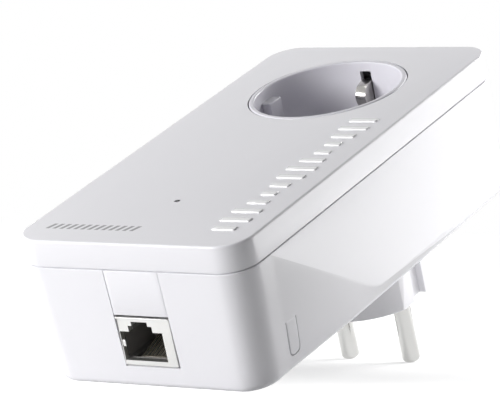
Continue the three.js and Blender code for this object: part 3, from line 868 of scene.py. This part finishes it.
bars = {
    "count": 14,
    "first": 10.35,
    "pitch": 5.25,
    "width": 1.9,
    "meanHalf": 3.1,
    "waveHalf": 1.1,
    "waveStep": 1.15,
    "across": 23.2,
    "height": 0.35,
    "sunk": 0.2,
    "soft": 0.1,
}


def barTree(material):
    tree = bpy.data.node_groups.new("raisedBars", "GeometryNodeTree")
    wanted = [
        ("Count", "NodeSocketInt", bars["count"]),
        ("Pitch", "NodeSocketFloat", bars["pitch"] * mm),
        ("Mean Half", "NodeSocketFloat", bars["meanHalf"]),
        ("Wave Half", "NodeSocketFloat", bars["waveHalf"]),
        ("Wave Step", "NodeSocketFloat", bars["waveStep"]),
        ("Start", "NodeSocketVector", (0, 0, 0)),
    ]
    tree.interface.new_socket("Geometry", in_out="INPUT", socket_type="NodeSocketGeometry")
    for label, kind, value in wanted:
        tree.interface.new_socket(label, in_out="INPUT", socket_type=kind).default_value = value
    tree.interface.new_socket("Geometry", in_out="OUTPUT", socket_type="NodeSocketGeometry")
    start = tree.nodes.new("NodeGroupInput")
    end = tree.nodes.new("NodeGroupOutput")
    line = tree.nodes.new("GeometryNodeMeshLine")
    tree.links.new(start.outputs["Count"], line.inputs["Count"])
    tree.links.new(start.outputs["Start"], line.inputs["Start Location"])
    step = tree.nodes.new("ShaderNodeCombineXYZ")
    tree.links.new(start.outputs["Pitch"], step.inputs["Y"])
    tree.links.new(step.outputs[0], line.inputs["Offset"])
    index = tree.nodes.new("GeometryNodeInputIndex").outputs[0]
    wave = mathNode(tree, "SINE", mathNode(tree, "MULTIPLY", index, start.outputs["Wave Step"]))
    change = mathNode(tree, "MULTIPLY", wave, start.outputs["Wave Half"])
    half = mathNode(tree, "ADD", start.outputs["Mean Half"], change)
    size = tree.nodes.new("ShaderNodeCombineXYZ")
    tree.links.new(half, size.inputs["X"])
    size.inputs["Y"].default_value = 1.0
    size.inputs["Z"].default_value = 1.0
    place = tree.nodes.new("GeometryNodeInstanceOnPoints")
    tree.links.new(line.outputs["Mesh"], place.inputs["Points"])
    tree.links.new(start.outputs["Geometry"], place.inputs["Instance"])
    tree.links.new(size.outputs[0], place.inputs["Scale"])
    solid = tree.nodes.new("GeometryNodeRealizeInstances")
    tree.links.new(place.outputs["Instances"], solid.inputs["Geometry"])
    coat = tree.nodes.new("GeometryNodeSetMaterial")
    coat.inputs["Material"].default_value = material
    tree.links.new(solid.outputs["Geometry"], coat.inputs["Geometry"])
    tree.links.new(coat.outputs["Geometry"], end.inputs["Geometry"])
    return tree


def buildBars():
    # one bar of half length 1, whose length each copy scales along X
    halfWidth = bars["width"] / 2
    bar = blockMm((-1, -halfWidth, -bars["sunk"]), (1, halfWidth, bars["height"]), "raisedBars")
    bevelled(bar, bars["soft"], 3)
    step = bar.modifiers.new("row", "NODES")
    step.node_group = barTree(paint["bars"])
    ids = {s.name: s.identifier for s in step.node_group.interface.items_tree if s.in_out == "INPUT"}
    step[ids["Start"]] = (bars["across"] * mm, (case["nearEnd"] + bars["first"]) * mm, case["faceZ"] * mm)
    applyModifiers(bar)
    return finishPiece(bar, "case", paint["bars"])


buildBars()
print("raised bars built")

cup = {
    "outer": 21.0,
    "inner": 19.6,
    "floor": 41.3,
    "holeRadius": 2.75,
    "ribHalf": 2.9,
    "ribFace": 16.8,
    "ribDrop": 3.2,
    "slotHalf": 1.65,
    "slotDrop": 2.5,
    "lip": 0.45,
    "bowlRadius": 1.0,
    "ribEdge": 0.35,
    "holeLead": 0.8,
    "slotFrom": 17.4,
    "slotTo": 24.0,
}


def buildCup():
    rim, under = cupHigh.z, cupLow.z + 3
    inner, outer, floor = cup["inner"], cup["outer"], cup["floor"]
    lip, bowlRadius = cup["lip"], cup["bowlRadius"]
    edge = arc((outer - lip, rim - lip), lip, 0, 90, 5) + arc((inner + lip, rim - lip), lip, 90, 180, 5)
    bowl = arc((inner - bowlRadius, floor + bowlRadius), bowlRadius, 0, -90, 6)
    profile = [(0, under), (outer, under), *edge, *bowl, (0, floor)]
    body = turned("socketCup", profile, steps=144)
    ribs = []
    for side in (-1, 1):
        near, far = side * cup["ribFace"], side * (inner + 0.8)
        low = (min(near, far), -cup["ribHalf"], floor - 0.5)
        high = (max(near, far), cup["ribHalf"], case["faceZ"] - cup["ribDrop"])
        ribs.append(bevelled(blockMm(low, high, "rib"), cup["ribEdge"], 3))
    ribs.append(turned("pivot", [(2, cupLow.z), (2, under + 0.5)], steps=32))
    combine(body, ribs, "UNION")
    cuts = []
    for side in (-1, 1):
        r, lead = cup["holeRadius"], cup["holeLead"]
        hole = [(r, under - 1), (r, floor - lead + 0.2), (r + lead, floor + 0.2)]
        cuts.append(turned("pinHole", hole, (side * pinOffset, 0), 48))
        near, far = side * cup["slotFrom"], side * cup["slotTo"]
        low = (-cup["slotHalf"], min(near, far), under + 2)
        high = (cup["slotHalf"], max(near, far), case["faceZ"] - cup["slotDrop"])
        cuts.append(blockMm(low, high, "slot"))
    combine(body, cuts)
    return finishPiece(body, "case", paint["cup"], ["socket_cup"], 30)


def offsets(curve, distance):
    # each point of a line with its step sideways, across the line's own direction
    for index, point in enumerate(curve):
        before, after = curve[max(0, index - 1)], curve[min(len(curve) - 1, index + 1)]
        along = Vector((after[0] - before[0], after[1] - before[1])).normalized()
        yield point, Vector((-along.y, along.x)) * distance


def strip(name, line, thickness, width, centreX=0.0, steps=28, side=1):
    # bent spring strip from a smooth line of y and z points
    half = width / 2
    rings = []
    for (y, z), off in offsets(smoothLine(line, steps), thickness / 2):
        corners = [(-half, 1), (half, 1), (half, -1), (-half, -1)]
        rings.append([(centreX + x, side * (y + s * off.x), z + s * off.y) for x, s in corners])
    return loft(name, rings)


def smoothLine(points, steps):
    # Catmull-Rom line through the points
    ends = [points[0], *points, points[-1]]
    line = []
    for i in range(1, len(ends) - 2):
        a, b, c, d = (Vector(p) for p in ends[i - 1:i + 3])
        count = max(2, round(steps / (len(points) - 1)))
        for k in range(count):
            t = k / count
            line.append(tuple(0.5 * ((2 * b) + (c - a) * t + (2 * a - 5 * b + 4 * c - d) * t * t
                                     + (3 * b - 3 * c + d - a) * t ** 3)))
    line.append(tuple(points[-1]))
    return line


clip = {
    "line": [
        (22.3, 34.6), (22.2, 38.5), (20.9, 42.6), (17.5, 46), (15.6, 48.6), (15.1, 50.8), (16.3, 52.6),
        (18.4, 53.4), (20.6, 53.6),
    ],
    "thickness": 0.6,
    "width": 3.0,
    "foldFrom": 43.4,
    "foldBack": 20.4,
    "edge": 0.22,
}


def buildClips():
    # spring strip below, folded into a D shape where it bows into the recess
    half = clip["width"] / 2
    inner, outer = [], []
    for (y, z), off in offsets(smoothLine(clip["line"], 96), clip["thickness"] / 2):
        inner.append((y + off.x, z + off.y))
        back = (y - off.x, z - off.y)
        outer.append((max(back[0], clip["foldBack"]), back[1]) if z > clip["foldFrom"] else back)
    for node, side, body in (("earth_clip_near", -1, "clip_near"), ("earth_clip_far", 1, "clip_far")):
        outline = [(side * y, z) for y, z in inner + outer[::-1]]
        piece = prism("earthClip" + ("Near" if side < 0 else "Far"), outline, -half, half, "X")
        bevelled(piece, clip["edge"], 3, 60)
        finishPiece(piece, body, paint["clip"], [node])


buildCup()
buildClips()
print("socket built")


def buildPlug():
    r, edge = plug["radius"], plug["edge"]
    rounded = arc((r - edge, edge), edge, -90, 0, 6)
    inside = case["backZ"] + shell["wall"] + 0.3
    profile = [(0, 0), *rounded, (r, inside), (plugHigh.x, inside), (plugHigh.x, plugHigh.z), (0, plugHigh.z)]
    body = turned("plugBase", profile, steps=144)
    cuts = []
    grooveHalf, slotHalf = plug["grooveHalf"], plug["earthSlotHalf"]
    high, far, hole = plug["grooveHigh"], plug["cutTo"], plug["pinHole"]
    for side in (-1, 1):
        flat = (side * plug["flat"], side * far)
        deep = (side * plug["grooveBottom"], side * far)
        slot = (side * plug["earthSlotBottom"], side * far)
        cuts.append(blockMm((min(flat), -20, -1), (max(flat), 20, high), "flat"))
        cuts.append(blockMm((min(deep), -grooveHalf, -1), (max(deep), grooveHalf, high), "groove"))
        cuts.append(blockMm((-slotHalf, min(slot), 0.9), (slotHalf, max(slot), 26), "slot"))
        cuts.append(turned("pinHole", [(hole, -1), (hole, 26)], (side * pinOffset, 0), 48))
    combine(body, cuts)
    bevelled(body, plug["soft"], 3, 35)
    return finishPiece(body, "case", paint["plug"], ["plug_base"], 40)


pins = {"radius": 2.4, "nose": 1.15}


def buildPins():
    for node, name in (("neutral_pin", "neutralPin"), ("live_pin", "livePin")):
        low, high = boxOf(node)
        x = (low.x + high.x) / 2
        r, soft, tip = pins["radius"], pins["nose"], low.z
        nose = [(0, tip), *((r - soft + soft * math.sin(a), tip + soft * (1 - math.cos(a)))
                            for a in (math.radians(15 * i) for i in range(7)))]
        top = plugHigh.z + 0.3
        profile = [*nose, (r, top), (high.x - x, top), (high.x - x, high.z), (0, high.z)]
        pin = turned(name, profile, (x, 0), 64)
        finishPiece(pin, "case", paint["nickel"], [node], 40)


plugStrip = {
    "line": [(17.0, 1.6), (18.1, 6), (18.15, 14), (17.4, 22), (17.2, 26)],
    "thickness": 0.7,
    "width": 4.8,
    "edge": 0.15,
}


def buildPlugStrips():
    for node, side in (("plug_earth_strip_near", -1), ("plug_earth_strip_far", 1)):
        name = "plugEarthStrip" + ("Near" if side < 0 else "Far")
        line, thickness, width = plugStrip["line"], plugStrip["thickness"], plugStrip["width"]
        piece = strip(name, line, thickness, width, side=side, steps=40)
        bevelled(piece, plugStrip["edge"], 2, 50)
        finishPiece(piece, "case", paint["clip"], [node])


buildPlug()
buildPins()
buildPlugStrips()
print("plug built")

jackX, jackZ = (jackLow.x + jackHigh.x) / 2, (jackLow.z + jackHigh.z) / 2


def jackWay(low, high, shrink=0.0):
    outline = [(jackX + x - math.copysign(shrink, x), jackZ + z - math.copysign(shrink, z))
               for x, z in jack["way"]]
    return prism("way", outline, low, high)


def buildJack():
    front, back = jackLow.y, jackHigh.y
    shield = blockMm((jackLow.x, front, jackLow.z), (jackHigh.x, back, jackHigh.z), "jackShield")
    bevelled(shield, jack["edge"], 3)
    s = jack["skin"]
    left, right, under, over = jack["frame"]
    face = front - jack["forward"]
    plate = bevelled(blockMm((left, face, under), (right, front + 0.2, over)), jack["plateEdge"], 2)
    lip = blockMm((left, face - 0.4, over - jack["lip"]), (right, face + 0.5, over))
    bevelled(lip, jack["smallEdge"], 2)
    combine(shield, [plate, lip], "UNION")
    hollow = blockMm((jackLow.x + s, front + s, jackLow.z + s), (jackHigh.x - s, back + 2, jackHigh.z - s))
    combine(shield, [hollow, jackWay(front - 3, front + 1)])
    x0, x1, z0, z1 = jack["tongue"]
    tongue = blockMm((left + x0, face + 0.05, z0), (left + x1, face + 0.35, z1))
    bevelled(tongue, 0.1, 2)
    combine(shield, [tongue], "UNION")
    finishPiece(shield, "case", paint["tin"], ["jack_shield"])
    low, high = boxOf("jack_insulator")
    body = blockMm(tuple(low), tuple(high), "jackInsulator")
    trough = blockMm((jackX - 4.6, low.y + 0.6, jackZ - 5.95), (jackX + 4.6, low.y + 12.6, jackZ - 4))
    combine(body, [jackWay(low.y - 1, low.y + 11.2, 0.12), trough])
    bevelled(body, jack["smallEdge"], 2)
    finishPiece(body, "case", paint["jackBlack"], ["jack_insulator"])


def buildContacts():
    low, high = boxOf("jack_contacts")
    y, z = low.y + 0.1, low.z + 0.2
    line = [(y, z), (y + 1.2, z + 0.25), (y + 4, z + 0.95), (y + 7.2, z + 1.8), (y + 9.6, z + 2.3)]
    wires = []
    first = jackX - jack["wirePitch"] * (jack["wires"] - 1) / 2
    for i in range(jack["wires"]):
        x = first + i * jack["wirePitch"]
        wires.append(strip("wire", line, jack["wireThickness"], jack["wireWidth"], x, 16))
    bar = bevelled(blockMm((low.x, y - 0.1, z - 0.2), (high.x, y + 0.6, z + 0.35), "bar"), 0.08, 2)
    whole = joined("jackContacts", [*wires, bar])
    finishPiece(whole, "contacts", paint["gold"], ["jack_contacts"])


buildJack()
buildContacts()
print("jack built")

# inside pieces keep their CAD shape and take worked finishes
inside = {
    "main_board": plastic("boardGreen", (0.03, 0.16, 0.07), 0.35, 0.2, grain=900.0, bump=(0.2, 0.03)),
    "network_magnetics": plastic("magneticsBlack", (0.03, 0.03, 0.032), gloss=0.5),
    "modem_chip": plastic("chipBlack", (0.025, 0.025, 0.028), gloss=0.45),
    "memory_chip": plastic("memoryBlack", (0.03, 0.03, 0.03), gloss=0.45),
    "switch_body": plastic("switchBlack", (0.03, 0.03, 0.03), gloss=0.5),
    "line_transformer": plastic("pottedBlack", (0.035, 0.035, 0.04), gloss=0.3),
    "heat_sink": metal("sinkAluminium", (0.75, 0.76, 0.78), (0.6, 0.6, 0.6), gloss=0.35),
    "status_lamp": plastic("lampBody", (0.8, 0.82, 0.82), gloss=0.2),
    "light_guide": paint["lens"],
    "switch_plunger": plastic("plungerYellow", (0.7, 0.5, 0.1), gloss=0.4),
    "transformer_core": plastic("ferrite", (0.05, 0.05, 0.052), gloss=0.65, haze=0.2),
    "transformer_winding": plastic("windingTape", (0.7, 0.5, 0.08), gloss=0.3, drift=0.15),
    "bulk_capacitor": plastic("sleeveNavy", (0.02, 0.03, 0.06), gloss=0.25),
    "output_capacitor": plastic("sleeveBlack", (0.02, 0.02, 0.03), gloss=0.25),
    "mains_choke": metal("chokeCopper", (0.7, 0.35, 0.18), (0.4, 0.2, 0.1), gloss=0.3),
    "x_capacitor": plastic("filmYellow", (0.75, 0.55, 0.06), gloss=0.3),
    "varistor": plastic("varistorBlue", (0.03, 0.1, 0.4), gloss=0.3),
    "fuse": plastic("fuseBrown", (0.2, 0.08, 0.04), gloss=0.3),
    "line_coil_live": metal("coilCopper", (0.7, 0.36, 0.2), (0.4, 0.2, 0.1), gloss=0.3),
    "line_coil_neutral": metal("coilCopperTwo", (0.7, 0.36, 0.2), (0.4, 0.2, 0.1), gloss=0.3),
    "neutral_lead": plastic("leadBlue", (0.03, 0.1, 0.4), gloss=0.4),
    "live_lead": plastic("leadBrown", (0.15, 0.06, 0.03), gloss=0.4),
    "rating_label": paint["label"],
    "socket_shutter": paint["shutter"],
    "shutter_spring": paint["steel"],
    "neutral_contact": paint["brass"],
    "live_contact": paint["brass"],
    "earth_strap": paint["brass"],
}
inside.update({node: paint["steel"] for node in screwNodes})
for node, material in inside.items():
    mesh = nodes[node].data
    mesh.materials.clear()
    mesh.materials.append(material)
print("inside pieces painted")

# floor and light, in millimetres; the glows are emission strengths
stage = {
    "floorHalf": 900.0,
    "shadowGlow": 0.5,
    "openGlow": 1.0,
    "shadowFrom": 60.0,
    "shadowTo": 140.0,
    "shadowCentre": (25.0, 60.0, 0.0),
    "floorTone": 0.5,
    "bounceGlow": 0.04,
    "mirrorGlow": 0.72,
    "mirrorDark": 0.12,
    "darkSide": (0.75, -0.64, 0.1),
    "darkEdge": (0.35, 0.85),
    "lampAim": (0, -20, 40),
    "tiltBetween": (10.0, 35.0),
}
# soft boxes: place and size in millimetres, power in watts
lamps = {
    "key": {"place": (-400, -600, 300), "size": 400, "power": 6.5},
    "front": {"place": (-100, -350, 120), "size": 250, "power": 0.5},
    "left": {"place": (-250, 0, 150), "size": 200, "power": 0.25},
    "back": {"place": (80, 280, 80), "size": 200, "power": 1.2},
    "right": {"place": (180, 130, -20), "size": 180, "power": 0.35},
    "top": {"place": (-50, 50, 550), "size": 250, "power": 0.45},
}


def restAngle():
    # tilt at which the near back edge and the pin tips touch one plane
    shellPoints = [v.co / mm for v in bpy.data.objects["rearShell"].data.vertices]
    pinPoints = [v.co / mm for v in bpy.data.objects["livePin"].data.vertices]
    low, high = stage["tiltBetween"]
    for _ in range(40):
        angle = math.radians((low + high) / 2)
        up = Vector((0, math.sin(angle), math.cos(angle)))
        shellDepth = min(p.dot(up) for p in shellPoints if p.y < case["middleY"])
        pinDepth = min(p.dot(up) for p in pinPoints)
        if shellDepth < pinDepth:
            high = (low + high) / 2
        else:
            low = (low + high) / 2
    return angle, up, min(shellDepth, pinDepth)


def floorMaterial():
    # the glow differs for the camera, for bounced light and for reflections, and dips about the shadow
    material = bpy.data.materials.new("paleFloor")
    material.use_nodes = True
    tree = material.node_tree
    shader = tree.nodes["Principled BSDF"]
    shader.inputs["Base Color"].default_value = (stage["floorTone"],) * 3 + (1,)
    shader.inputs["Roughness"].default_value = 0.9
    shader.inputs["Specular IOR Level"].default_value = 0.0
    shader.inputs["Emission Color"].default_value = (1, 1, 1, 1)
    path = tree.nodes.new("ShaderNodeLightPath")
    place = tree.nodes.new("ShaderNodeTexCoord").outputs["Object"]
    reach = tree.nodes.new("ShaderNodeVectorMath")
    reach.operation = "LENGTH"
    shifted = tree.nodes.new("ShaderNodeVectorMath")
    shifted.operation = "SUBTRACT"
    tree.links.new(place, shifted.inputs[0])
    shifted.inputs[1].default_value = Vector(stage["shadowCentre"]) * mm
    tree.links.new(shifted.outputs[0], reach.inputs[0])
    span = (stage["shadowFrom"], stage["shadowTo"])
    spread = fadeMm(tree, reach.outputs["Value"], span, stage["shadowGlow"], stage["openGlow"])
    seen = mathNode(tree, "MULTIPLY", spread, path.outputs["Is Camera Ray"])
    bounce = mathNode(tree, "MULTIPLY", path.outputs["Is Diffuse Ray"], stage["bounceGlow"])
    mirrored = mathNode(tree, "MULTIPLY", path.outputs["Is Glossy Ray"], stage["mirrorGlow"])
    glow = mathNode(tree, "ADD", seen, mathNode(tree, "ADD", bounce, mirrored))
    tree.links.new(glow, shader.inputs["Emission Strength"])
    clear = tree.nodes.new("ShaderNodeBsdfTransparent")
    mix = tree.nodes.new("ShaderNodeMixShader")
    back = tree.nodes.new("ShaderNodeNewGeometry").outputs["Backfacing"]
    tree.links.new(back, mix.inputs[0])
    tree.links.new(shader.outputs[0], mix.inputs[1])
    tree.links.new(clear.outputs[0], mix.inputs[2])
    tree.links.new(mix.outputs[0], tree.nodes["Material Output"].inputs["Surface"])
    return material


def makeFloor():
    angle, up, depth = restAngle()
    half = stage["floorHalf"]
    corners = [(-half, -half, 0), (half, -half, 0), (half, half, 0), (-half, half, 0)]
    floor = meshFrom("floor", corners, [(0, 1, 2, 3)])
    along = Vector((0, math.cos(angle), -math.sin(angle)))
    centre = up * depth + along * case["middleY"]
    floor.matrix_world = Matrix.Translation(centre * mm) @ Matrix.Rotation(-angle, 4, "X")
    floor.data.materials.append(floorMaterial())
    print("floor tilt", round(math.degrees(angle), 2))


def makeLamps():
    for name, values in lamps.items():
        lamp = bpy.data.lights.new(name, "AREA")
        lamp.shape = "SQUARE"
        lamp.size = values["size"] * mm
        lamp.energy = values["power"]
        holder = bpy.data.objects.new(name, lamp)
        spot = Vector(values["place"]) * mm
        aim = Vector(stage["lampAim"]) * mm
        turn = (aim - spot).to_track_quat("-Z", "Y").to_matrix().to_4x4()
        holder.matrix_world = Matrix.Translation(spot) @ turn
        holder.visible_camera = False
        bpy.context.scene.collection.objects.link(holder)


def makeWorld():
    # white for the camera; reflections see pale walls with one dark side near the camera
    world = bpy.data.worlds.new("studio")
    bpy.context.scene.world = world
    world.use_nodes = True
    world.cycles.sampling_method = "NONE"
    tree = world.node_tree
    background = tree.nodes["Background"]
    place = tree.nodes.new("ShaderNodeTexCoord").outputs["Generated"]
    dot = tree.nodes.new("ShaderNodeVectorMath")
    dot.operation = "DOT_PRODUCT"
    tree.links.new(place, dot.inputs[0])
    dot.inputs[1].default_value = Vector(stage["darkSide"]).normalized()
    wall = ramp(tree, dot.outputs["Value"], *stage["darkEdge"], stage["mirrorGlow"], stage["mirrorDark"])
    path = tree.nodes.new("ShaderNodeLightPath")
    mirrored = mathNode(tree, "MULTIPLY", wall, path.outputs["Is Glossy Ray"])
    background.inputs["Color"].default_value = (1, 1, 1, 1)
    strength = mathNode(tree, "ADD", mirrored, path.outputs["Is Camera Ray"])
    tree.links.new(strength, background.inputs["Strength"])


makeFloor()
makeLamps()
makeWorld()
bpy.context.scene.view_settings.view_transform = "Standard"
print("stage and light ready")
